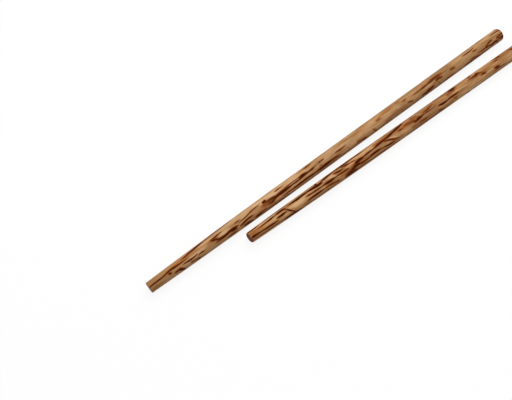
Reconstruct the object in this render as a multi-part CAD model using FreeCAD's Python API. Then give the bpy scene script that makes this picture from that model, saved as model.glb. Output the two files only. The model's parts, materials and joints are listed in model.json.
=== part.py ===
import FreeCAD, Part
import math
import os

# A pair of palm-wood chopsticks lying side by side on a table, tips towards -X.
# Each one is turned from a single rod: a blunt tip with a rounded rim, a long
# taper that swells gently into a straight round handle, and a flat handle end.
# All sizes are in millimetres. The origin is on the table, under the middle of
# the pair's outline. +X runs from the tips to the handle ends and +Z is up.

# One chopstick
stick_length = 240.0         # tip to handle end
handle_diameter = 7.5        # the straight round part that the hand holds
tip_diameter = 5.65          # across the blunt tip, before its rim is rounded
taper_length = 88.0          # tip to the start of the straight handle
handle_end_rounding = 0.6    # softened rim of the flat handle end

# The two tips were sanded by hand and differ a little
left_tip_rounding = 0.5
right_tip_rounding = 1.4

# How the pair lies
tip_stagger = 51.2           # the right tip lies this far behind the left one
gap_at_right_tip = 3.0       # clear space between the sticks, beside the right tip
splay_angle = 1.42           # degrees by which the sticks open towards the handles

# Worked out from the sizes above
handle_radius = handle_diameter / 2
tip_radius = tip_diameter / 2
taper_swell = handle_radius - tip_radius
taper_arc_radius = (taper_length ** 2 + taper_swell ** 2) / (2 * taper_swell)
half_splay = splay_angle / 2


def side_radius(distance, inset=0.0):
    """Radius of the stick's side at a distance from its tip, or of a line inset from it.

    The taper is one large arc that runs tangent into the straight handle.
    """
    to_handle = max(taper_length - distance, 0.0)
    arc_height = math.sqrt((taper_arc_radius - inset) ** 2 - to_handle ** 2)
    return handle_radius - taper_arc_radius + arc_height


def profile_point(distance, radius):
    """A point of the lengthwise section: along the stick and out from its axis."""
    return FreeCAD.Vector(distance, radius, 0)


def rounding_centre(distance, rounding):
    """Centre of a rim's rounding, which touches the stick's side from inside."""
    return profile_point(distance, side_radius(distance, rounding))


def line(start, end):
    """A straight edge of the section."""
    return Part.LineSegment(start, end).toShape()


def arc(centre, start, end):
    """A round edge of the section, the short way about its centre."""
    outwards = (start - centre) + (end - centre)
    middle = centre + outwards.normalize() * (start - centre).Length
    return Part.Arc(start, middle, end).toShape()


def lengthwise_section(tip_rounding):
    """Half of the stick's lengthwise section, closed along the axis."""
    taper_centre = profile_point(taper_length, handle_radius - taper_arc_radius)
    at_tip = rounding_centre(tip_rounding, tip_rounding)
    at_end = rounding_centre(stick_length - handle_end_rounding, handle_end_rounding)

    tip_middle = profile_point(0, 0)
    tip_rim = profile_point(0, at_tip.y)
    taper_start = at_tip + (at_tip - taper_centre).normalize() * tip_rounding
    handle_start = profile_point(taper_length, handle_radius)
    handle_stop = profile_point(at_end.x, handle_radius)
    end_rim = profile_point(stick_length, at_end.y)
    end_middle = profile_point(stick_length, 0)

    return Part.Face(Part.Wire([
        line(tip_middle, tip_rim),
        arc(at_tip, tip_rim, taper_start),
        arc(taper_centre, taper_start, handle_start),
        line(handle_start, handle_stop),
        arc(at_end, handle_stop, end_rim),
        line(end_rim, end_middle),
        line(end_middle, tip_middle),
    ]))


def chopstick(tip_rounding):
    """One stick turned along +X with the middle of its tip at the origin.

    Its upper and its lower half are turned and joined, so that the taper's seams
    lie on the left and on the right, away from the line on which the stick rests.
    """
    section = lengthwise_section(tip_rounding)
    stick_axis = FreeCAD.Vector(1, 0, 0)
    upper_half = section.revolve(profile_point(0, 0), stick_axis, 180)
    lower_half = section.revolve(profile_point(0, 0), stick_axis, -180)
    return upper_half.fuse(lower_half).removeSplitter().Solids[0]


def laid_on_table(stick, tip_x, tip_y, heading):
    """The stick at rest with its tip over a point, turned by heading in degrees."""
    tip_place = FreeCAD.Vector(tip_x, tip_y, handle_radius)
    turn = FreeCAD.Rotation(FreeCAD.Vector(0, 0, 1), heading)
    stick.Placement = FreeCAD.Placement(tip_place, turn)
    return stick


def pair():
    """Both sticks, staggered and slightly splayed, over the middle of their outline."""
    left = laid_on_table(chopstick(left_tip_rounding), 0, 0, half_splay)
    left_axis_y = tip_stagger * math.tan(math.radians(half_splay))
    between_axes = side_radius(tip_stagger) + gap_at_right_tip + tip_radius
    right_tip_y = left_axis_y - between_axes
    right = laid_on_table(chopstick(right_tip_rounding), tip_stagger, right_tip_y, -half_splay)
    outline = Part.Compound([left, right]).optimalBoundingBox(False, False)
    to_origin = FreeCAD.Vector(-outline.Center.x, -outline.Center.y, 0)
    for stick in (left, right):
        stick.translate(to_origin)
    return {"left_chopstick": left, "right_chopstick": right}


def main():
    os.makedirs("parts", exist_ok=True)
    for name, stick in pair().items():
        if not stick.isValid() or len(stick.Solids) != 1:
            raise ValueError(name + " is not one valid solid")
        stick.exportStep("parts/" + name + ".step")
        handle_end = stick.Placement.multVec(profile_point(stick_length, 0))
        facing = stick.Placement.Rotation.multVec(FreeCAD.Vector(1, 0, 0))
        print(name, "volume", round(stick.Volume, 1), "mm3")
        print("  handle end at", [round(v, 3) for v in handle_end])
        print("  it faces", [round(v, 6) for v in facing])


main()
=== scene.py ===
import json
import math
import bpy
import numpy as np
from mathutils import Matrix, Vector


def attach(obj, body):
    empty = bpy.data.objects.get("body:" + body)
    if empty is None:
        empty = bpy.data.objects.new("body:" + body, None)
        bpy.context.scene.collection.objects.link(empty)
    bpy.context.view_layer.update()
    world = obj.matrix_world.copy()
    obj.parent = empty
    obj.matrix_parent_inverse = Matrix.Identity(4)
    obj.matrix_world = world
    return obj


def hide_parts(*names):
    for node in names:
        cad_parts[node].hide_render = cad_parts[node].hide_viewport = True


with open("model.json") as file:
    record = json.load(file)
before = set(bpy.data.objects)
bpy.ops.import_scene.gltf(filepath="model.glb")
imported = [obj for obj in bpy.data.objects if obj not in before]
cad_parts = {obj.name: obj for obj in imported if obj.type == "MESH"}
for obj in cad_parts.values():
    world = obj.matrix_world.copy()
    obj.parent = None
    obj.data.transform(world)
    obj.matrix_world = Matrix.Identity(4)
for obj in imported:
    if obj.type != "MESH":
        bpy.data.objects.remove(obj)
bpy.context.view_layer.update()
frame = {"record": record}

millimetre = 0.001


def linear(hexColour, alpha=1.0):
    # sRGB hex to the linear values that the shaders take
    shares = [int(hexColour[i:i + 2], 16) / 255 for i in (1, 3, 5)]
    return tuple(s / 12.92 if s <= 0.04045 else ((s + 0.055) / 1.055) ** 2.4 for s in shares) + (alpha,)


def addNode(tree, kind, settings=None, inputs=None):
    # an input is a plain value, or another node's output that is linked to it
    node = tree.nodes.new(kind)
    for name, value in (settings or {}).items():
        setattr(node, name, value)
    for name, value in (inputs or {}).items():
        if isinstance(value, bpy.types.NodeSocket):
            tree.links.new(value, node.inputs[name])
        else:
            node.inputs[name].default_value = value
    return node


def setStops(ramp, places, colours):
    while len(ramp.elements) < len(places):
        ramp.elements.new(0.5)
    for element, place, colour in zip(ramp.elements, places, colours):
        element.position = place
        element.color = linear(colour)


def fadeIn(low, high, value):
    # rises smoothly from 0 at low to 1 at high
    share = np.clip((value - low) / (high - low), 0, 1)
    return share * share * (3 - 2 * share)


def softNoise(random, along, turn, cellLength, cellsRound):
    # random heights from -1 to 1 on a coarse net, joined smoothly and without a seam round the stick
    net = random.uniform(-1, 1, (int(np.ptp(along) / cellLength) + 3, cellsRound))
    row = (along - along.min()) / cellLength
    column = turn / 360 * cellsRound
    row0, column0 = np.floor(row).astype(int), np.floor(column).astype(int)
    rowShare, columnShare = fadeIn(0, 1, row - row0), fadeIn(0, 1, column - column0)
    left, right = column0 % cellsRound, (column0 + 1) % cellsRound
    before = net[row0, left] * (1 - columnShare) + net[row0, right] * columnShare
    after = net[row0 + 1, left] * (1 - columnShare) + net[row0 + 1, right] * columnShare
    return before * (1 - rowShare) + after * rowShare


# What both sticks share, with lengths in mm
stickShape = {
    "length": 240.0,
    "tipDiameter": 5.65,
    "taperLength": 88.0,
    "handleEndRounding": 0.6,      # the handle's own diameter comes from the frame
    "facesRound": 152,
    "facesAlong": 560,
    "facesOnRounding": 7,
    "facesOnEnd": 9,
    "tipDoming": 0.08,             # the sanded tips are a little convex
    "undulation": 0.035,           # hand sanding leaves the side slightly wavy
    "waveLength": 16.0,            # along the stick, from one wave to the next
    "wavesRound": 5,
    "fibreProud": 0.030,           # the hard dark fibres stand out of the softer ground
    "reliefFade": 2.0,             # from each end, over which the waves and fibres rise
    "markRadius": 3.53125,         # turns degrees round the stick into mm for every mark
    "grainDrift": 0.5,             # how far the grain wanders sideways
    "driftLength": 22,             # along the stick, from one such drift to the next
    "cutEndFade": (0.2, 1.1),      # shares of a rounding over which the cut end's tone fades
    # the dark line at the start of each end's rounding is painted shade
    "rimShadeLine": (0.05, 0.5),        # shares of a rounding over which the dark line at its start fades
}


def sideRadius(distance, handleRadius):
    # the taper is one large arc that runs tangent into the straight handle
    taper = stickShape["taperLength"]
    swell = handleRadius - stickShape["tipDiameter"] / 2
    arcRadius = (taper ** 2 + swell ** 2) / (2 * swell)
    toHandle = np.maximum(taper - distance, 0)
    return handleRadius - arcRadius + np.sqrt(arcRadius ** 2 - toHandle ** 2)


def stickProfile(tipRounding, handleRadius):
    # rows of (mm along the axis, radius, mm along the surface from the tip's rim), tip middle to end middle
    length, endRounding = stickShape["length"], stickShape["handleEndRounding"]
    quarter = np.linspace(0, math.pi / 2, stickShape["facesOnRounding"] + 1)
    tipRim = sideRadius(tipRounding, handleRadius) - tipRounding
    endRimShade = handleRadius - endRounding
    across = np.linspace(0, 1, stickShape["facesOnEnd"] + 1)[1:-1]
    doming = stickShape["tipDoming"]
    rows = [(doming * s * s, tipRim * s, tipRim * (s - 1)) for s in across]
    for angle in quarter[:-1]:
        back = tipRounding * (1 - math.cos(angle))
        rows.append((doming * (1 - math.sin(angle)) + back, tipRim + tipRounding * math.sin(angle), back))
    for distance in np.linspace(tipRounding, length - endRounding, stickShape["facesAlong"]):
        rows.append((distance, sideRadius(distance, handleRadius), distance))
    for angle in quarter[1:]:
        onwards = length - endRounding + endRounding * math.sin(angle)
        rows.append((onwards, endRimShade + endRounding * math.cos(angle), onwards))
    rows += [(length, endRimShade * s, length + endRimShade * (1 - s)) for s in across[::-1]]
    return np.array(rows)


def smoothLine(points, radius, step=0.2):
    # a smooth line through given points, in mm along the stick and degrees round it, with a point
    # about every step mm
    knots = np.array(points, float)
    padded = np.vstack((2 * knots[0] - knots[1], knots, 2 * knots[-1] - knots[-2]))
    parts = []
    for before, start, stop, after in zip(padded, padded[1:], padded[2:], padded[3:]):
        move = (stop - start) * (1, math.radians(radius))
        share = np.arange(0, 1, step / max(np.hypot(*move), step))[:, None]
        parts.append(start + 0.5 * share * (
            stop - before + share * (2 * before - 5 * start + 4 * stop - after)
            + share ** 2 * (3 * (start - stop) + after - before)))
    return np.vstack(parts + [knots[-1:]])


# How a stroke is drawn, in shares of its own width and depth
brush = {
    "endWidth": 0.22,
    "swellWidth": 0.70,            # what its middle has on top of that
    "endDepth": 0.6,
    "swellDepth": 0.4,
    "fullness": 0.6,               # below 1, so that it is full over most of its length
    "tightness": 0.9,              # how fast it fades sideways
    "edge": 4,                     # how hard the edge of a firm one is
}
# What each bundle stains round itself: layer, times its width, times its depth
bundleHalos = (("stain", 2.0, 0.6), ("glow", 2.6, 0.5))


def paintStroke(layer, surface, stroke, soft):
    # deepens one layer along a stroke; soft strokes fade slowly, firm ones have an edge
    width, depth, points = stroke
    line = smoothLine(points, surface["radius"])
    share = np.linspace(0, 1, len(line))
    slender = np.ptp(line[:, 0]) > 2 * width
    swell = np.sin(math.pi * share) ** brush["fullness"] if slender else np.ones(len(line))
    half = width / 2 * (brush["endWidth"] + brush["swellWidth"] * swell)
    depths = depth * (brush["endDepth"] + brush["swellDepth"] * swell)
    margin = width * 2
    first, last = np.searchsorted(surface["rows"], (line[:, 0].min() - margin, line[:, 0].max() + margin))
    along = surface["along"][first:last, :, None] - line[:, 0]
    turn = (surface["turn"][first:last, :, None] - line[:, 1] + 180) % 360 - 180
    away = np.hypot(along, np.radians(turn) * surface["radius"]) / half
    if soft:
        value = (depths * np.exp(-brush["tightness"] * away ** 2)).max(axis=2)
        layer[first:last] = 1 - (1 - layer[first:last]) * (1 - value)
    else:
        value = (depths / (1 + (brush["tightness"] * away) ** brush["edge"])).max(axis=2)
        layer[first:last] = np.maximum(layer[first:last], value)


# Bundles like the ones read off the photo, for the sides that it doesn't show
hiddenBundles = {
    "count": 150,
    "start": -4,                   # mm from the tip, the furthest forward
    "width": (0.45, 1.05),         # mm
    "depth": (0.6, 1.0),
    "reach": (2, 14),              # mm
    "slant": 9,                    # degrees round the stick, from start to end
    "wander": 3,                   # degrees at each point on the way
    "apart": 14,                   # degrees kept clear beside what the photo shows
}


def scatteredBundles(random, stick):
    streaks = []
    low, high = stick["seenRound"]
    apart = hiddenBundles["apart"]
    while len(streaks) < hiddenBundles["count"]:
        start = random.uniform(hiddenBundles["start"], stickShape["length"])
        turn = random.uniform(-180, 180)
        width = random.uniform(*hiddenBundles["width"])
        depth = random.uniform(*hiddenBundles["depth"])
        reach = random.uniform(*hiddenBundles["reach"])
        slant = random.normal(0, hiddenBundles["slant"])
        if start + reach / 2 < stick["seenAlong"] and low - apart < turn < high + apart:
            continue
        points = [(start, turn)]
        for part in (1 / 3, 2 / 3, 1):
            wander = random.normal(0, hiddenBundles["wander"])
            points.append((start + reach * part, turn + slant * part + wander))
        streaks.append((width, depth, points))
    return streaks


# How far the marks are bent, so that none has a ruled edge: mm, mm from one bend to the next, bends round
markBends = {
    "acrossFine": (0.07, 1.1, 40),
    "acrossSlow": (0.16, 4.5, 14),
    "along": (0.25, 2.0, 30),
}


def stickSurface(random, profile, turns):
    # where each point of the side lies for the marks, in mm along the stick and degrees round it
    along, turn = np.meshgrid(profile[:, 2], turns, indexing="ij")
    bend = {}
    for name, (reach, cellLength, cellsRound) in markBends.items():
        bend[name] = reach * softNoise(random, along, turn, cellLength, cellsRound)
    radius = stickShape["markRadius"]
    return {
        "rows": profile[:, 2],
        "radius": radius,
        "along": along + bend["along"],
        "turn": turn + np.degrees((bend["acrossFine"] + bend["acrossSlow"]) / radius),
    }


# Left stick: pale palm wood. Its marks are listed one by one, each one as
# (width in mm, depth of tone, points as (mm from the tip, degrees from the top towards -Y)).
# Bundles are dark fibres with an edge, smokes are softer clouds of them, dusks are dull patches, stains are
# deep rust, glows are warm orange and pales are bare soft ground. The long smokes and dusks that are marked
# below as painted shade run along the top and bottom edges. duskAlong is (mm from the tip, how dull).
leftStick = {
    "piece": "left_stick_turned",
    "node": "left_chopstick",
    "slot": "pale_palm_wood",
    "handleMount": "left_handle",
    "endMount": "left_handle_end",
    "tipRounding": 0.5,
    "seed": 11,
    "seenAlong": 206,              # mm from the tip that the photo shows
    "seenRound": (-62, 98),        # degrees round it that the photo shows
    "duskAlong": (
        (0, 0.42), (10, 0.30), (20, 0.14), (30, 0.06), (70, 0.08), (95, 0.16), (115, 0.34), (130, 0.28),
        (150, 0.36), (172, 0.46), (190, 0.50), (240, 0.40)),
    "bundles": [
        (0.80, 0.88, ((-3, 24), (0, 21), (4.5, 17), (8, 14), (10, 9), (12, 5))),
        (0.95, 0.86, ((8, 12), (10, 8), (12, 4), (14, 3), (17, 4), (20, 5))),
        (0.75, 0.55, ((16, 4), (19, 6), (23, 6))),
        (1.05, 0.95, ((18.8, -16), (22, -20), (25, -26), (29, -33), (34, -40))),
        (0.85, 0.80, ((31, -36), (36, -42), (41, -45), (50, -47))),
        (0.95, 1.00, ((11.3, 24), (11.7, 25))),
        (0.85, 0.90, ((13.2, 48), (15, 46), (16.8, 42))),
        (1.20, 0.80, ((16.6, 48), (17.3, 58), (17.8, 68), (18.5, 80))),
        (0.75, 0.90, ((18.3, 28), (20.5, 30), (23, 32), (25, 31), (27.2, 27))),
        (0.55, 0.90, ((26.8, 44), (27.8, 39), (28.9, 36), (30.2, 38), (30.9, 43))),
        (0.90, 0.66, ((35.9, 13), (37.0, 17), (38.4, 17))),
        (0.65, 0.75, ((36.9, 18), (38, 26), (40, 31), (42.6, 32))),
        (0.85, 0.75, ((37, 44), (39.5, 44), (42, 42), (44.5, 37))),
        (0.60, 0.85, ((35, 4), (37.8, 1), (40, -2), (42.8, -5))),
        (1.00, 1.00, ((40.8, 39), (43, 37), (46, 34), (48.5, 32), (51, 32))),
        (0.85, 0.95, ((46.4, 47), (48, 45), (49.8, 46))),
        (0.60, 0.70, ((49, 8), (50.8, 5), (53.5, 5))),
        (0.55, 0.75, ((51, 24), (52.5, 19), (55, 15), (57.5, 10), (60, 5), (63, 0), (66.5, -8))),
        (0.90, 0.85, ((51.4, 47), (52.7, 44), (54.8, 39), (57.5, 36), (60, 36))),
        (1.10, 0.95, ((60.6, 67), (62.4, 65), (64.5, 61))),
        (0.60, 0.65, ((63.5, 60), (65.5, 56), (68, 55))),
        (1.00, 0.95, ((67.5, 4), (68.6, 1))),
        (0.50, 0.65, ((68.4, 11), (70, 15), (73, 17), (75, 19))),
        (0.70, 0.70, ((69, 40), (71.5, 42), (74, 38))),
        (1.25, 0.84, ((72.5, 24), (76, 26), (80, 27), (85, 26))),
        (0.60, 0.62, ((78, 15), (82, 11), (86, 7), (91, 5))),
        (0.75, 0.78, ((82, 26), (87, 24), (92, 20), (97, 18))),
        (0.80, 0.65, ((74.8, -12), (77, -14), (79.7, -15))),
        (0.75, 0.58, ((77.5, 55), (80, 54), (82, 53), (85, 54))),
        (0.95, 0.80, ((82, 53), (87, 55), (92, 53), (97, 53), (101, 54))),
        (1.15, 0.85, ((99, 54), (103.5, 55), (106.5, 53), (109.5, 51))),
        (0.95, 0.95, ((89.6, 11), (91.2, 11), (93.2, 12), (95.4, 13))),
        (0.75, 0.54, ((113, 23), (115.5, 23), (118, 22), (121, 18))),
    ],
    "smokes": [
        (1.9, 0.50, ((22.8, 60), (24.5, 64), (26.5, 68))),
        (1.3, 0.40, ((26, 74), (29, 76), (31.5, 79))),
        (1.4, 0.32, ((15.4, 60), (17.0, 62), (18.6, 62))),
        (2.4, 0.25, ((34.5, 12), (36.5, 14), (38.5, 22))),
        (1.8, 0.15, ((38, 36), (41, 36), (44, 35))),
        (1.8, 0.50, ((42.5, 68), (46, 70), (49.8, 69))),
        (2.0, 0.55, ((52.8, 64), (55, 69), (58.5, 71))),
        (2.4, 0.46, ((67.6, 18), (69.5, 20), (72, 24), (75, 26))),
        (1.8, 0.40, ((73, 23), (78, 24), (84, 25))),
        (1.4, 0.55, ((68.5, 75), (74, 78), (80, 78), (88, 80))),
        (1.6, 0.52, ((94.5, -29), (97, -31), (100.5, -29))),
        (1.8, 0.28, ((90, -28), (93, -30), (97, -32))),
        # these two smokes along the top edge are painted shade where the side turns away from the light
        (1.0, 0.30, ((58, -41), (66, -42), (74, -42), (82, -44))),
        (1.0, 0.30, ((100, -41), (106, -42), (113, -40))),
        (1.2, 0.42, ((96, 17), (97.5, 18), (99.5, 17))),
        (1.3, 0.42, ((95, 13), (99, 11), (103, 8), (107, 4))),
        (1.2, 0.36, ((102.8, 31), (103.8, 31))),
        (1.4, 0.30, ((103.5, 4), (106, 4))),
        (2.1, 0.52, ((104, 55), (108, 54), (111, 54), (114, 56), (116.5, 60))),
        (1.4, 0.42, ((54, 79), (57.5, 81), (61, 81))),
        (1.4, 0.30, ((108, 22), (113, 22), (118, 21))),
        (1.0, 0.30, ((121.2, 52), (122, 60))),
        (2.6, 0.42, ((128, 60), (130.5, 66), (133, 72))),
        (1.8, 0.45, ((139, 50), (139.8, 60), (140.4, 74))),
        (1.6, 0.42, ((143.4, 8), (145.4, 8))),
        (1.0, 0.28, ((149.5, 0), (152, -3), (155.5, -4))),
        (2.0, 0.40, ((145, 74), (149, 72), (153, 72))),
        (1.6, 0.26, ((153, 73), (159, 74), (166, 74))),
        (1.6, 0.30, ((131, 79), (136, 80), (142, 80))),
        (1.6, 0.36, ((158.6, -20), (160.4, -16))),
        (1.6, 0.44, ((161.4, 4), (163.5, 3), (165.4, 0))),
        (1.5, 0.58, ((164.2, 34), (166, 41), (168.5, 52))),
        (1.9, 0.46, ((169, 10), (172, 12), (176, 12), (180, 10))),
        (1.8, 0.48, ((176, 11), (179, 9), (182, 6), (186, 2), (190, 2), (195, 0))),
        (2.8, 0.28, ((181, 2), (184, -8), (188, -14), (192, -12))),
        (1.3, 0.28, ((177, -18), (178.2, -14))),
        (2.2, 0.62, ((174, 60), (177, 62), (180, 61), (184, 56))),
        (1.6, 0.30, ((178, 52), (183, 45), (188, 38))),
        (1.6, 0.56, ((186, 24), (188.5, 25), (191.5, 28))),
        (1.4, 0.25, ((182, 34), (185, 29), (188, 26))),
        (1.2, 0.35, ((187.3, 50), (188.3, 64))),
        (1.8, 0.45, ((190, 76), (195, 76), (200, 72))),
        (1.8, 0.48, ((197.8, 22), (200.5, 25))),
        (2.0, 0.25, ((192, -24), (198, -22), (206, -20))),
        (2.6, 0.34, ((-4, 66), (0, 62), (4, 58), (9, 58))),
    ],
    "dusks": [
        (3.4, 0.36, ((-2, 62), (10, 60), (30, 66), (50, 74))),
        # this band along the bottom edge and the next one along the top edge are painted shade where the
        # side turns away
        (1.6, 0.25, ((60, 80), (90, 80), (125, 80), (160, 78), (206, 78))),
        (1.4, 0.30, ((100, -46), (125, -44), (150, -44), (206, -40))),
        (3.0, 0.24, ((2, 40), (10, 42), (20, 44))),
        (3.0, 0.46, ((39.5, 0), (46, -8), (55, -10))),
        (2.0, 0.40, ((-2, 46), (2, 47), (6, 46))),
        (2.4, 0.30, ((6, 38), (11, 38), (19, 34))),
        (2.2, 0.30, ((109, 4), (113, 2), (119, -4))),
        (2.2, 0.32, ((148, -36), (152, -34), (156, -32))),
        (1.8, 0.40, ((159, 18), (162, 18), (165, 18))),
        (1.8, 0.45, ((168, -42), (172, -44), (177, -44))),
        (2.0, 0.36, ((173, 36), (178, 42), (182, 36))),
        (2.0, 0.50, ((184.5, 36), (188, 40), (193, 38))),
        (1.8, 0.36, ((193, 50), (196, 50), (200, 50))),
        (4.0, 0.20, ((96, 0), (104, 4), (110, 0))),
        (3.0, 0.38, ((119, 16), (123, 18), (130, 18))),
        (5.0, 0.62, ((189, -14), (194, -12), (200, -14))),
    ],
    "stains": [
        (1.0, 0.80, ((10, 5), (13, 1), (18, 4), (24, 4))),
        (3.4, 1.00, ((65.8, 24), (69, 26), (72, 27), (75, 26))),
        (2.0, 0.15, ((86, 62), (93, 64), (100, 66))),
        (2.2, 0.30, ((86, 68), (94, 70), (104, 68))),
        (2.6, 0.68, ((147, 56), (152, 50), (158, 47), (166, 46))),
        (2.0, 0.14, ((107, 30), (113, 34), (118, 36))),
        (1.4, 0.25, ((116, -22), (124, -20), (134, -18))),
        (1.6, 0.45, ((184, -4), (188, 2), (192, 8))),
        (2.0, 0.25, ((180, -6), (186, -16), (194, -22))),
    ],
    "glows": [
        (1.8, 0.8, ((64.5, 27), (67, 33), (69.5, 35))),
        (1.8, 0.8, ((9, 0), (13, -3), (19, -4), (24, -8))),
        (1.2, 0.8, ((11, -8), (14.5, -12), (18, -15), (21, -19))),
        (1.1, 0.6, ((20, 4), (24, 3), (29, 2), (34, 1))),
        (1.6, 0.4, ((33, 6), (35, 5), (38, 10))),
        (3.0, 0.4, ((124, 4), (131, 0), (140, -5))),
        (2.0, 0.4, ((170, 6), (176, 3), (182, -4), (188, -8))),
        (1.8, 0.8, ((142, 2), (147, -10), (152, -22), (157, -31))),
        (1.4, 0.5, ((142.5, 8), (146, 8))),
        (1.6, 0.5, ((185, 12), (188, 14), (192, 16))),
        (1.2, 0.4, ((90, -26), (94, -30), (100, -32))),
    ],
    "pales": [
        (1.2, 0.35, ((174, 22), (180, 22), (187, 17))),
        (1.6, 0.45, ((18, -40), (23, -44), (29, -46))),
        (2.0, 0.60, ((28, -12), (33, -12), (38, -12))),
        (1.6, 0.50, ((30, 60), (34, 62), (39, 62))),
        (1.2, 0.60, ((40, 51), (42, 52), (44.5, 52))),
        (2.6, 0.40, ((54, 22), (57, 20), (60, 20))),
        (1.6, 0.70, ((64, -4), (67, -8), (70, -4))),
        (1.4, 0.95, ((69.3, 0), (71.5, 1), (74, 0), (79, -2))),
        (1.6, 0.40, ((184, 4), (187, 6), (191, 8))),
        (2.2, 0.50, ((55, -30), (62, -28), (72, -26), (80, -26))),
        (2.2, 0.40, ((84, -22), (89, -20), (95, -18))),
        (1.2, 0.40, ((78, 64), (83, 65), (90, 64))),
        (1.4, 0.45, ((110, 77), (114, 78), (119, 77))),
        (2.2, 0.45, ((118, 56), (123, 54), (130, 50))),
        (2.6, 0.50, ((122, -34), (126, -36), (132, -36))),
        (2.2, 0.35, ((154, -6), (157, -4), (160, -6))),
        (1.8, 0.35, ((174, -8), (177, -8), (180, -6))),
        (2.0, 0.35, ((134, 22), (139, 24), (145, 20))),
        (1.7, 0.8, ((39.2, 15), (42, 16), (47, 14))),
        (2.8, 0.7, ((62, -18), (69, -12), (76, -4))),
        (1.8, 0.5, ((20, 15), (26, 17), (33, 16))),
        (1.8, 0.5, ((80, -12), (88, -8), (96, -14))),
        (2.4, 0.5, ((46, -20), (56, -20), (64, -20))),
        (2.4, 0.5, ((74, -34), (82, -34), (90, -32))),
        (1.2, 0.4, ((147, 8), (150, 6), (154, 10))),
        (1.4, 0.4, ((84, 37), (92, 37), (100, 36))),
        (1.6, 0.4, ((106, 34), (111, 34), (116, 34))),
        (1.8, 0.4, ((128, 34), (134, 36), (140, 34))),
    ],
}

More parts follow.
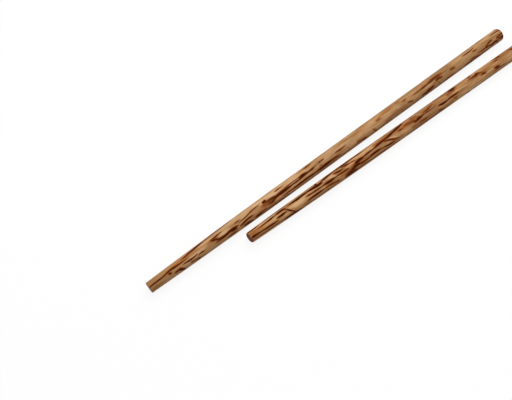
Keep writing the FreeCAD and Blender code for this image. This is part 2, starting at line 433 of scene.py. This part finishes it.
# Right stick: redder and darker, with its marks placed in the same way
rightStick = {
    "piece": "right_stick_turned",
    "node": "right_chopstick",
    "slot": "red_palm_wood",
    "handleMount": "right_handle",
    "endMount": "right_handle_end",
    "tipRounding": 1.4,
    "seed": 23,
    "seenAlong": 146,
    "seenRound": (-62, 98),
    "duskAlong": (
        (0, 0.12), (30, 0.08), (50, 0.25), (72, 0.18), (90, 0.30), (112, 0.50), (130, 0.38), (240, 0.35)),
    "bundles": [
        (0.90, 0.85, ((-1, -38), (2, -38), (5, -38), (8, -41))),
        (0.75, 0.75, ((8, -43), (11, -46), (18, -50), (26, -51))),
        (0.65, 0.62, ((5, -7), (8, -9), (11, -11), (14, -13))),
        (0.85, 0.95, ((10.5, -10), (14, -14), (17, -18))),
        (1.15, 1.00, ((16.8, -18), (19.5, -20), (21.5, -20), (23.2, -15))),
        (1.00, 1.00, ((24.4, -22), (27, -22), (30, -21), (33.5, -22), (38, -22))),
        (1.15, 0.95, ((-4, 31), (0, 31), (3.2, 32), (6.4, 34))),
        (0.95, 0.92, ((4.5, 33), (7.5, 35), (10.5, 38), (13.5, 39), (16.8, 38))),
        (0.85, 1.00, ((16.2, 16), (17.6, 18), (19.4, 18), (22.2, 14))),
        (0.75, 0.90, ((21.8, -10), (22.9, 5), (24.2, 26), (25.3, 44), (26.4, 64))),
        (0.60, 0.70, ((34.5, 11), (37.0, 12), (39.5, 14))),
        (0.75, 0.85, ((38.0, 13), (41.5, 15), (46, 17))),
        (0.95, 1.00, ((45.5, 14), (47.8, 16), (50.6, 18), (53.5, 18))),
        (0.90, 0.85, ((34.5, 44), (37.6, 42), (41.5, 43), (45.5, 43))),
        (0.80, 0.62, ((44.5, 42), (48.5, 44), (51.5, 49), (54.5, 58))),
        (1.45, 1.00, ((36.5, -22), (40, -19), (43, -15), (46.2, -11))),
        (0.80, 0.80, ((42.6, -20), (42.8, -34), (43.0, -50))),
        (1.00, 0.95, ((44.5, -22), (48, -30), (51, -37), (55, -42))),
        (0.95, 0.90, ((53, -41), (59, -41), (65, -40), (74, -42))),
        (0.90, 0.85, ((53, -15), (55.3, -12), (57.5, -9), (59.4, -7))),
        (0.80, 0.85, ((53, 17), (56, 18), (59, 18), (62, 17))),
        (0.95, 0.90, ((59, -24), (60.7, -20), (62.5, -16), (64, -12))),
        (0.50, 0.62, ((63, -12), (65, -8), (67.6, -5))),
        (1.15, 0.95, ((66.4, 17), (68, 13), (70, 11), (71.8, 10))),
        (0.80, 0.72, ((70.5, 12), (73, 8), (76, 5), (79.5, 2))),
        (1.00, 0.88, ((78.5, 2), (82.5, -1), (86, -4), (89, -7))),
        (1.15, 0.88, ((85.5, -4), (89, -8), (92, -13), (95, -21))),
        (1.25, 0.95, ((92.5, -14), (95, -21), (97.5, -28), (102, -36))),
        (0.85, 0.75, ((64.5, 33), (67, 38), (69.8, 43), (73, 43), (75.8, 39))),
        (1.10, 0.85, ((74.5, 41), (77.5, 37), (80.5, 36), (83.5, 39))),
        (0.80, 0.60, ((82, 38), (85, 44), (88.5, 52), (92.5, 58))),
        (0.90, 0.65, ((85, 0), (87, 8), (89, 19), (91.5, 33), (95.5, 52))),
        (1.05, 0.88, ((106.4, 17), (108.5, 17), (111, 14), (114, 9))),
        (0.95, 0.85, ((124, 23), (126, 26), (128.5, 27), (131, 25))),
        (0.80, 0.85, ((130, 26), (133, 24), (136, 23), (139.5, 20))),
        (1.40, 0.90, ((135, -38), (137.5, -36), (140, -32))),
    ],
    "smokes": [
        # these three smokes, and two more further on, run along the lower edge as painted shade drawn as
        # soft fibre
        (1.5, 0.56, ((-2, 66), (4, 66), (10, 65), (17, 63), (24, 64))),
        (1.7, 0.75, ((19.5, 70), (24, 70), (28, 72), (32, 76))),
        (1.4, 0.40, ((34, 76), (40, 75), (48, 76), (56, 76))),
        (1.0, 0.25, ((46.8, 60), (47.3, 74))),
        (1.8, 0.40, ((24, -26), (28, -24), (35, -25), (41, -20))),
        (2.0, 0.30, ((52.5, 48), (54.5, 60), (57, 68))),
        (3.0, 0.45, ((58.5, 52), (61.5, 46), (65, 37), (68, 28))),
        (2.2, 0.42, ((63, 42), (66, 33), (69, 24))),
        (1.3, 0.32, ((70.5, 23), (73, 24), (76, 24))),
        (1.9, 0.70, ((57.5, 69), (61, 68), (66, 68))),
        # painted shade along the lower edge, drawn as soft fibre
        (1.5, 0.50, ((66, 74), (73, 76), (82, 77), (96, 78))),
        (1.6, 0.28, ((84, 40), (90, 50), (96, 62))),
        (1.3, 0.50, ((96, 5), (98, 3), (100, 3))),
        (2.4, 0.46, ((100, -3), (104, -2), (108, 3))),
        (1.8, 0.36, ((103.6, 47), (107.5, 46))),
        (2.6, 0.38, ((107, -24), (109, -14), (111, -2))),
        (1.2, 0.50, ((113, 11), (117, 10), (121, 9), (124, 12))),
        (1.5, 0.48, ((113, -3), (117, -6), (120, -16), (123, -32))),
        (1.3, 0.50, ((109, 45), (112, 47), (115.5, 47))),
        (1.7, 0.35, ((122.8, 46), (124.5, 58), (127, 74))),
        (2.6, 0.42, ((133, -8), (135.5, -12), (138, -18))),
        # painted shade along the lower edge, drawn as soft fibre
        (1.6, 0.45, ((100, 76), (112, 74), (124, 74), (136, 74))),
        (1.5, 0.40, ((135.4, 50), (137, 60))),
    ],
    "dusks": [
        # painted shade along the bottom edge, where the side turns away from the light
        (1.6, 0.36, ((26, 78), (60, 78), (100, 80), (146, 80))),
        (1.2, 0.50, ((0, 18), (2, 19), (4, 20))),
        (1.0, 0.45, ((4, 27), (7, 28), (10, 29))),
        (2.2, 0.36, ((44.5, -6), (47, -2), (50, 2))),
        (1.4, 0.40, ((79, 48), (83, 48), (86, 46))),
        (4.0, 0.36, ((88, -12), (92, -4), (98, -10))),
        (4.0, 0.42, ((106, -34), (111, -22), (116, -26))),
        (3.0, 0.50, ((119, 24), (127, 16), (135, 15))),
        # painted shade along the top edge, where the side turns away from the light
        (1.2, 0.35, ((20, -44), (60, -46), (100, -44), (146, -44))),
        (3.2, 0.66, ((74, 14), (82, 18), (90, 24))),
        (3.4, 0.46, ((99, 18), (112, 28), (119, 26), (126, 22))),
    ],
    "stains": [
        (2.8, 0.50, ((58, 58), (62, 52), (66, 40))),
        (1.8, 0.50, ((65, 28), (68, 26), (71, 26))),
        (1.6, 0.18, ((36, 62), (46, 60), (54, 66))),
        (1.8, 0.22, ((72, 58), (80, 60), (88, 66))),
        (2.4, 0.50, ((-1, 46), (3, 50), (7, 54))),
        (1.8, 0.45, ((100, 2), (104, 4), (108, 8))),
        (1.6, 0.30, ((114, -8), (118, -14), (121, -26))),
        (2.6, 0.35, ((132, -4), (135, -10), (138, -14))),
        (2.0, 0.35, ((84, -20), (89, -24), (94, -30))),
    ],
    "glows": [
        (2.6, 0.60, ((-1, 6), (1.5, 6), (5, 3))),
        (1.6, 0.60, ((3, -4), (8, -8), (14, -12))),
        (2.4, 0.35, ((4, 14), (9, 18), (14, 24))),
        (3.4, 0.34, ((120, -8), (126, -8), (132, 0))),
        (2.6, 0.95, ((95, 4), (100, -1), (104, -2), (109, 6))),
        (2.0, 0.60, ((56, 38), (62, 34), (66, 24))),
        (2.2, 0.60, ((80, -14), (86, -18), (90, -22))),
        (1.8, 0.45, ((33, 6), (36, 8), (40, 10))),
        (2.0, 0.60, ((112, -8), (117, -10), (120, -22))),
        (1.4, 0.25, ((62, 0), (66, -2), (70, -2))),
    ],
    "pales": [
        (1.0, 0.7, ((89, 2), (91.5, 16), (94, 30))),
        (1.3, 0.4, ((111, -16), (112.8, -8), (113.6, 0))),
        (0.9, 0.8, ((0.9, 17), (1.5, 17))),
        (3.2, 0.8, ((24, 6), (29, 6), (35, -2))),
        (2.0, 0.7, ((49, -4), (52, -6), (54, 4))),
        (1.2, 0.6, ((4, -25), (7, -27), (10, -28))),
        (1.4, 0.6, ((8, 2), (12, 0), (15, -2), (20, 0))),
        (1.2, 0.6, ((20, 33), (23, 35), (26, 36))),
        (1.2, 0.5, ((29, -34), (32, -35), (36, -36))),
        (1.4, 0.5, ((34, 63), (39, 64), (44, 64))),
        (1.4, 0.8, ((60, 3), (63, 3), (67, 2))),
        (1.6, 0.7, ((60, -29), (65, -29), (70, -29))),
        (1.6, 0.5, ((76, -30), (82, -32), (88, -36))),
        (1.2, 0.4, ((114, 62), (118, 62), (123, 62))),
        (2.4, 0.6, ((66, -20), (73, -18), (80, -18))),
        (0.9, 0.7, ((35, 28), (41, 28), (46, 29))),
        (2.4, 0.6, ((27, 26), (32, 26), (36, 24))),
        (1.4, 0.9, ((33, 0), (38, 1), (45, 3))),
        (1.8, 0.5, ((17, 40), (20, 40), (23, 44))),
        (2.4, 0.4, ((123, -16), (128, -14), (132, -8))),
        (0.7, 0.7, ((18.5, 0), (20, -2), (22, 4))),
        (2.4, 0.4, ((97, 46), (102, 48), (106, 52))),
        (1.2, 0.5, ((124, 40), (130, 40), (135, 38))),
        (1.8, 0.2, ((92, 22), (96, 26), (102, 30))),
    ],
}


def paintMarks(random, stick, surface):
    # one depth from 0 to 1 for each kind of mark at each point of the side
    layers = {name: np.zeros(surface["along"].shape) for name in ("fibre", "stain", "glow", "pale", "dusk")}
    for stroke in stick["bundles"] + scatteredBundles(random, stick):
        width, depth, points = stroke
        paintStroke(layers["fibre"], surface, stroke, soft=False)
        for name, wider, fainter in bundleHalos:
            paintStroke(layers[name], surface, (wider * width, fainter * depth, points), soft=True)
    for stroke in stick["smokes"]:
        paintStroke(layers["fibre"], surface, stroke, soft=True)
    layers["dusk"] += np.interp(surface["along"], *zip(*stick["duskAlong"]))
    for name in ("stain", "glow", "pale", "dusk"):
        for stroke in stick[name + "s"]:
            paintStroke(layers[name], surface, stroke, soft=True)
    return layers


def makeStick(stick):
    random = np.random.default_rng(stick["seed"])
    length = stickShape["length"]
    mounts = {mount["name"]: mount for mount in frame["record"]["mounts"]}
    handleRadius = mounts[stick["handleMount"]]["dims"]["r_mm"]
    axis = Vector(mounts[stick["endMount"]]["axis"]).normalized()
    endMiddle = Vector(mounts[stick["endMount"]]["pos_m"]) / millimetre
    towardsRight = axis.cross(Vector((0, 0, 1))).normalized()
    profile = stickProfile(stick["tipRounding"], handleRadius)
    turns = np.arange(stickShape["facesRound"]) * 360 / stickShape["facesRound"] - 180
    surface = stickSurface(random, profile, turns)
    layers = paintMarks(random, stick, surface)

    # relief goes inwards only, so that the stick keeps its size
    along, turn = np.meshgrid(profile[:, 2], turns, indexing="ij")
    wave = softNoise(random, along, turn, stickShape["waveLength"], stickShape["wavesRound"])
    inset = stickShape["undulation"] * (0.5 + 0.5 * wave) + stickShape["fibreProud"] * (1 - layers["fibre"])
    fade = stickShape["reliefFade"]
    onSide = fadeIn(0, fade, along) * fadeIn(0, fade, length - along)
    radius = profile[:, 1:2] - inset * onSide
    sine, cosine = np.sin(np.radians(turn)), np.cos(np.radians(turn))
    local = np.stack((np.broadcast_to(profile[:, 0:1], along.shape), radius * sine, radius * cosine), axis=2)
    # the middles of the tip and of the handle end come last
    local = np.vstack((local.reshape(-1, 3), (0, 0, 0), (length, 0, 0)))
    tipMiddle = endMiddle - axis * length
    stickAxes = np.array((axis, towardsRight, (0, 0, 1)))
    places = (np.array(tipMiddle) + local @ stickAxes) * millimetre

    here = np.arange(along.size).reshape(along.shape)
    beside = np.roll(here, -1, axis=1)
    quads = np.stack((here[:-1], here[1:], beside[1:], beside[:-1]), axis=2).reshape(-1, 4)
    tipFan = [(int(a), int(b), along.size) for a, b in zip(here[0], beside[0])]
    endFan = [(int(b), int(a), along.size + 1) for a, b in zip(here[-1], beside[-1])]
    mesh = bpy.data.meshes.new(stick["piece"])
    mesh.from_pydata(places.tolist(), [], quads.tolist() + tipFan + endFan)
    mesh.polygons.foreach_set("use_smooth", [True] * len(mesh.polygons))

    # the shader's own coordinates, in mm along and across this stick, with the slow drift of its grain,
    # which has a knot every driftLength from a little before the tip to a little past the end
    knots = np.arange(-5, length + 20, stickShape["driftLength"])
    grainSpace = local.copy()
    for direction in (1, 2):
        drift = random.normal(0, stickShape["grainDrift"], len(knots))
        grainSpace[:, direction] += np.interp(local[:, 0], knots, drift)
    mesh.attributes.new("grainSpace", "FLOAT_VECTOR", "POINT").data.foreach_set("vector", grainSpace.ravel())
    layers = {name: np.append(depths, (0, 0)) for name, depths in layers.items()}
    # the cut ends reach over their roundings, with a darker line of painted shade where the rounding starts
    alongAll = np.append(along, (along.min(), along.max()))
    fromTip = alongAll / stick["tipRounding"]
    fromEnd = (length - alongAll) / stickShape["handleEndRounding"]
    cutEndFade = stickShape["cutEndFade"]
    layers["end"] = 1 - fadeIn(*cutEndFade, fromTip) * fadeIn(*cutEndFade, fromEnd)
    layers["rim"] = 1 - fadeIn(*stickShape["rimShadeLine"], np.minimum(np.abs(fromTip), np.abs(fromEnd)))
    for name, depths in layers.items():
        mesh.attributes.new(name, "FLOAT", "POINT").data.foreach_set("value", depths.astype(np.float32))

    piece = bpy.data.objects.new(stick["piece"], mesh)
    bpy.context.scene.collection.objects.link(piece)
    print(stick["piece"], "has", len(mesh.polygons), "faces")
    return piece


# Palm wood, turned, sanded and oiled: a pale soft ground with dark hard fibre bundles that the lathe
# cuts into long slanting streaks, each with a rusty rim. The eye reads warm stripes and a low satin shine.
palePalmWood = {
    "name": "palm wood, pale, turned and oiled",
    "ground": ("#AA794C", "#C99868", "#DFB485"),
    "groundStops": (0.32, 0.47, 0.62),
    "groundSpot": (24.0, 2.0),     # mm along and across, the ground's slow changes of tone
    "shade": (11.0, 0.95),         # mm along and across, softer fibres just under the surface
    "fibre": (9.0, 0.42),          # mm along and across, one fine fibre
    "shadeTone": "#935A2D",
    "hairline": "#8A552C",
    "dusk": "#8F6A3E",
    "pale": "#E6BE90",
    "glow": "#B05E1E",
    "stain": "#83380F",
    "rim": "#A8652C",
    "bundle": "#6E330F",
    "core": "#451705",
    "bundleStops": (0.12, 0.44, 0.80),   # depths at which a mark shows its rim, its body and its core
    "fraying": 0.22,               # how far single fibres break up the edge of a mark
    "endGround": "#B08458",
    # the next colour is the painted shade line where the end's rounding starts
    "endRimShade": "#8A5F38",
    "endDot": 1.3,                 # mm between the bundles' cut ends, a little coarse so that they show
    "endDotReach": (0.16, 0.42),   # of that distance, where a dot starts to fade and where it is gone
    "endDotDepth": 0.85,
    "roughness": (0.46, 0.60),
    "sheen": 0.07,                 # oil soaks in, so little of the surface mirrors
    "sheenTint": "#C98F55",        # and light comes back from inside the fibres, warm
    "fibreDepth": 0.02,            # mm
}
redPalmWood = dict(
    palePalmWood,
    name="palm wood, red, turned and oiled",
    ground=("#9B673C", "#C4905D", "#E8BB88"),
    shadeTone="#80481F",
    hairline="#7A4622",
    dusk="#855A34",
    pale="#E8BB88",
    glow="#AC5A20",
    stain="#7A320C",
    rim="#A05A22",
    bundle="#6A2D0B",
    core="#3A1002",
    endGround="#A86E50",
    # the next colour is the painted shade line where the end's rounding starts
    endRimShade="#683622",
)


def makeWood(wood):
    material = bpy.data.materials.new(wood["name"])
    material.use_nodes = True
    tree = material.node_tree
    tree.nodes.clear()
    place = addNode(tree, "ShaderNodeAttribute", {"attribute_name": "grainSpace"})

    # three noises drawn out along the stick, from slow changes of tone down to single fibres
    grain = {}
    for name, detail in (("groundSpot", 2.0), ("shade", 2.0), ("fibre", 3.0)):
        along, across = wood[name]
        drawnOut = addNode(tree, "ShaderNodeMapping", None, {
            "Vector": place.outputs["Vector"], "Scale": (1 / along, 1 / across, 1 / across)})
        noise = addNode(tree, "ShaderNodeTexNoise", None, {
            "Vector": drawnOut.outputs["Vector"], "Scale": 1.0, "Detail": detail, "Roughness": 0.6})
        grain[name] = noise.outputs["Fac"]

    # the marks come from the mesh, and single fibres fray their edges
    loose = addNode(tree, "ShaderNodeMapRange", {"interpolation_type": "SMOOTHSTEP"}, {
        "Value": grain["fibre"], "From Min": 0.3, "From Max": 0.7,
        "To Min": 1 + wood["fraying"] / 2, "To Max": 1 - wood["fraying"]})
    marks = {}
    for name in ("dusk", "pale", "glow", "stain", "fibre", "end", "rim"):
        marks[name] = addNode(tree, "ShaderNodeAttribute", {"attribute_name": name}).outputs["Fac"]
    for name in ("dusk", "pale", "glow", "stain", "fibre"):
        frayed = addNode(tree, "ShaderNodeMath", {"operation": "MULTIPLY"}, {
            0: marks[name], 1: loose.outputs["Result"]})
        marks[name] = frayed.outputs[0]

    ground = addNode(tree, "ShaderNodeValToRGB", None, {"Fac": grain["groundSpot"]})
    setStops(ground.color_ramp, wood["groundStops"], wood["ground"])
    bundle = addNode(tree, "ShaderNodeValToRGB", None, {"Fac": marks["fibre"]})
    setStops(bundle.color_ramp, wood["bundleStops"], (wood["rim"], wood["bundle"], wood["core"]))

    # the ends cut the bundles across, so they show as dots that run straight on over the rounding
    flattened = addNode(tree, "ShaderNodeMapping", None, {
        "Vector": place.outputs["Vector"], "Scale": (0.02, 1.0, 1.0)})
    dots = addNode(tree, "ShaderNodeTexVoronoi", None, {
        "Vector": flattened.outputs["Vector"], "Scale": 1 / wood["endDot"]})
    solid, gone = wood["endDotReach"]
    dotted = addNode(tree, "ShaderNodeMapRange", {"interpolation_type": "SMOOTHSTEP"}, {
        "Value": dots.outputs["Distance"], "From Min": solid, "From Max": gone,
        "To Min": wood["endDotDepth"], "To Max": 0.0})
    endFace = addNode(tree, "ShaderNodeMix", {"data_type": "RGBA"}, {
        0: dotted.outputs["Result"], 6: linear(wood["endGround"]), 7: linear(wood["core"])})
    # a line of painted shade where the rounding starts
    shadedRim = addNode(tree, "ShaderNodeMix", {"data_type": "RGBA"}, {
        0: marks["rim"], 6: endFace.outputs[2], 7: linear(wood["endRimShade"])})

    # coats of colour from the ground up: (mask, where it starts, where it is full, share when full, colour)
    coats = (
        (grain["shade"], 0.50, 0.72, 0.50, linear(wood["shadeTone"])),
        (grain["fibre"], 0.54, 0.74, 0.36, linear(wood["hairline"])),
        (marks["dusk"], 0.0, 1.0, 0.9, linear(wood["dusk"])),
        (marks["pale"], 0.0, 1.0, 1.0, linear(wood["pale"])),
        (marks["glow"], 0.0, 1.1, 0.85, linear(wood["glow"])),
        (marks["stain"], 0.0, 1.1, 0.90, linear(wood["stain"])),
        (marks["fibre"], 0.0, 0.55, 1.0, bundle.outputs["Color"]),
        (marks["end"], 0.0, 1.0, 1.0, shadedRim.outputs[2]),
    )
    colour = ground.outputs["Color"]
    for mask, start, full, share, paint in coats:
        cover = addNode(tree, "ShaderNodeMapRange", {"interpolation_type": "SMOOTHSTEP"}, {
            "Value": mask, "From Min": start, "From Max": full, "To Max": share})
        coat = addNode(tree, "ShaderNodeMix", {"data_type": "RGBA"}, {
            0: cover.outputs["Result"], 6: colour, 7: paint})
        colour = coat.outputs[2]

    smooth, dull = wood["roughness"]
    roughness = addNode(tree, "ShaderNodeMapRange", None, {
        "Value": grain["fibre"], "From Min": 0.35, "From Max": 0.65, "To Min": smooth, "To Max": dull})
    height = addNode(tree, "ShaderNodeMath", {"operation": "MULTIPLY_ADD"}, {
        0: marks["fibre"], 1: 0.5, 2: grain["fibre"]})
    bump = addNode(tree, "ShaderNodeBump", None, {
        "Strength": 0.5, "Distance": wood["fibreDepth"] * millimetre, "Height": height.outputs[0]})
    surface = addNode(tree, "ShaderNodeBsdfPrincipled", None, {
        "Base Color": colour, "Roughness": roughness.outputs["Result"], "IOR": 1.5,
        "Specular IOR Level": wood["sheen"], "Specular Tint": linear(wood["sheenTint"]),
        "Normal": bump.outputs["Normal"]})
    addNode(tree, "ShaderNodeOutputMaterial", None, {"Surface": surface.outputs["BSDF"]})
    return material


# Plain studio: one wide softbox above and a little behind, white all round
studio = {
    "keyDirection": (0.30, 0.30, 0.89),
    "keyDistance": 1.0,            # m
    "keySize": 0.9,                # m
    "keyLevel": 0.70,              # how brightly the softbox alone shows a white face turned to it
    "fillLevel": 0.40,             # share that comes from all round
    "backdropWhite": 1.0,
    "floorSize": 4.0,              # m
    "floorPaint": "#B9B7B4",       # what the sticks are lit by from below
    "shadowShare": 0.12,           # how much of the floor's white a shadow can take away
    "floorLevel": 0.9,             # how white a white floor would be without any glow of its own
}


def seenDirectly(tree):
    # 1 where the camera, a reflection or a view through glass looks, 0 where only light goes
    ray = addNode(tree, "ShaderNodeLightPath")
    seen = ray.outputs["Is Camera Ray"]
    for other in ("Is Glossy Ray", "Is Transmission Ray"):
        either = addNode(tree, "ShaderNodeMath", {"operation": "MAXIMUM"}, {0: seen, 1: ray.outputs[other]})
        seen = either.outputs[0]
    return seen


def makeFloor():
    # white to the camera, apart from the soft shadow that the sticks leave, and pale to the light
    half = studio["floorSize"] / 2
    corners = [(-half, -half, 0), (half, -half, 0), (half, half, 0), (-half, half, 0)]
    mesh = bpy.data.meshes.new("studio_floor")
    mesh.from_pydata(corners, [], [(0, 1, 2, 3)])
    floor = bpy.data.objects.new("studio_floor", mesh)
    bpy.context.scene.collection.objects.link(floor)
    material = bpy.data.materials.new("paper sweep, matt white")
    material.use_nodes = True
    tree = material.node_tree
    tree.nodes.clear()
    share = studio["shadowShare"]
    paper = addNode(tree, "ShaderNodeBsdfDiffuse", None, {"Color": (share, share, share, 1)})
    glow = addNode(tree, "ShaderNodeEmission", None, {
        "Color": (1, 1, 1, 1), "Strength": 1 - share * studio["floorLevel"]})
    white = addNode(tree, "ShaderNodeAddShader", None, {0: paper.outputs[0], 1: glow.outputs[0]})
    plain = addNode(tree, "ShaderNodeBsdfDiffuse", None, {"Color": linear(studio["floorPaint"])})
    mix = addNode(tree, "ShaderNodeMixShader", None, {
        0: seenDirectly(tree), 1: plain.outputs[0], 2: white.outputs[0]})
    # a view from below looks through the floor
    fromBelow = addNode(tree, "ShaderNodeNewGeometry")
    clear = addNode(tree, "ShaderNodeBsdfTransparent")
    oneWay = addNode(tree, "ShaderNodeMixShader", None, {
        0: fromBelow.outputs["Backfacing"], 1: mix.outputs[0], 2: clear.outputs[0]})
    addNode(tree, "ShaderNodeOutputMaterial", None, {"Surface": oneWay.outputs[0]})
    mesh.materials.append(material)
    return floor


def makeLight():
    direction = Vector(studio["keyDirection"]).normalized()
    lamp = bpy.data.lights.new("softbox", "AREA")
    lamp.shape = "DISK"
    lamp.size = studio["keySize"]
    # the watts at which a white face turned to the lamp renders at keyLevel
    lamp.energy = studio["keyLevel"] * (math.pi * studio["keyDistance"]) ** 2
    softbox = bpy.data.objects.new("softbox", lamp)
    softbox.location = direction * studio["keyDistance"]
    softbox.rotation_euler = (-direction).to_track_quat("-Z", "Y").to_euler()
    bpy.context.scene.collection.objects.link(softbox)

    world = bpy.data.worlds.new("white studio")
    world.use_nodes = True
    tree = world.node_tree
    tree.nodes.clear()
    strength = addNode(tree, "ShaderNodeMapRange", None, {
        "Value": seenDirectly(tree), "To Min": studio["fillLevel"], "To Max": studio["backdropWhite"]})
    light = addNode(tree, "ShaderNodeBackground", None, {
        "Color": (1, 1, 1, 1), "Strength": strength.outputs["Result"]})
    addNode(tree, "ShaderNodeOutputWorld", None, {"Surface": light.outputs[0]})
    bpy.context.scene.world = world


# Camera: looks down on the pair from the tips' side, as the photo does
camera = {
    "azimuth": -38.05,             # degrees
    "elevation": 63.6,
    "aim": (-78.92, 9.62, 3.75),   # mm, the point in the middle of the picture
    "distance": 300.4,             # mm
    "lens": 42.89,                 # mm on a 36 mm sensor
    "sensor": 36.0,
    "clipStart": 0.01,             # m
}


def makeCamera():
    turn, rise = math.radians(camera["azimuth"]), math.radians(camera["elevation"])
    back = Vector((math.sin(turn) * math.cos(rise), -math.cos(turn) * math.cos(rise), math.sin(rise)))
    data = bpy.data.cameras.new("photo camera")
    data.lens = camera["lens"]
    data.sensor_width = camera["sensor"]
    data.clip_start = camera["clipStart"]
    eye = bpy.data.objects.new("photo camera", data)
    eye.location = (Vector(camera["aim"]) + back * camera["distance"]) * millimetre
    eye.rotation_euler = (-back).to_track_quat("-Z", "Y").to_euler()
    bpy.context.scene.collection.objects.link(eye)
    bpy.context.scene.camera = eye


makeCamera()
print("camera set")
for stick, wood in ((leftStick, palePalmWood), (rightStick, redPalmWood)):
    piece = makeStick(stick)
    piece.data.materials.append(makeWood(wood))
    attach(piece, "root")
    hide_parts(stick["node"])
print("sticks made")
makeFloor()
makeLight()
bpy.context.scene.view_settings.view_transform = "Standard"
print("studio set")
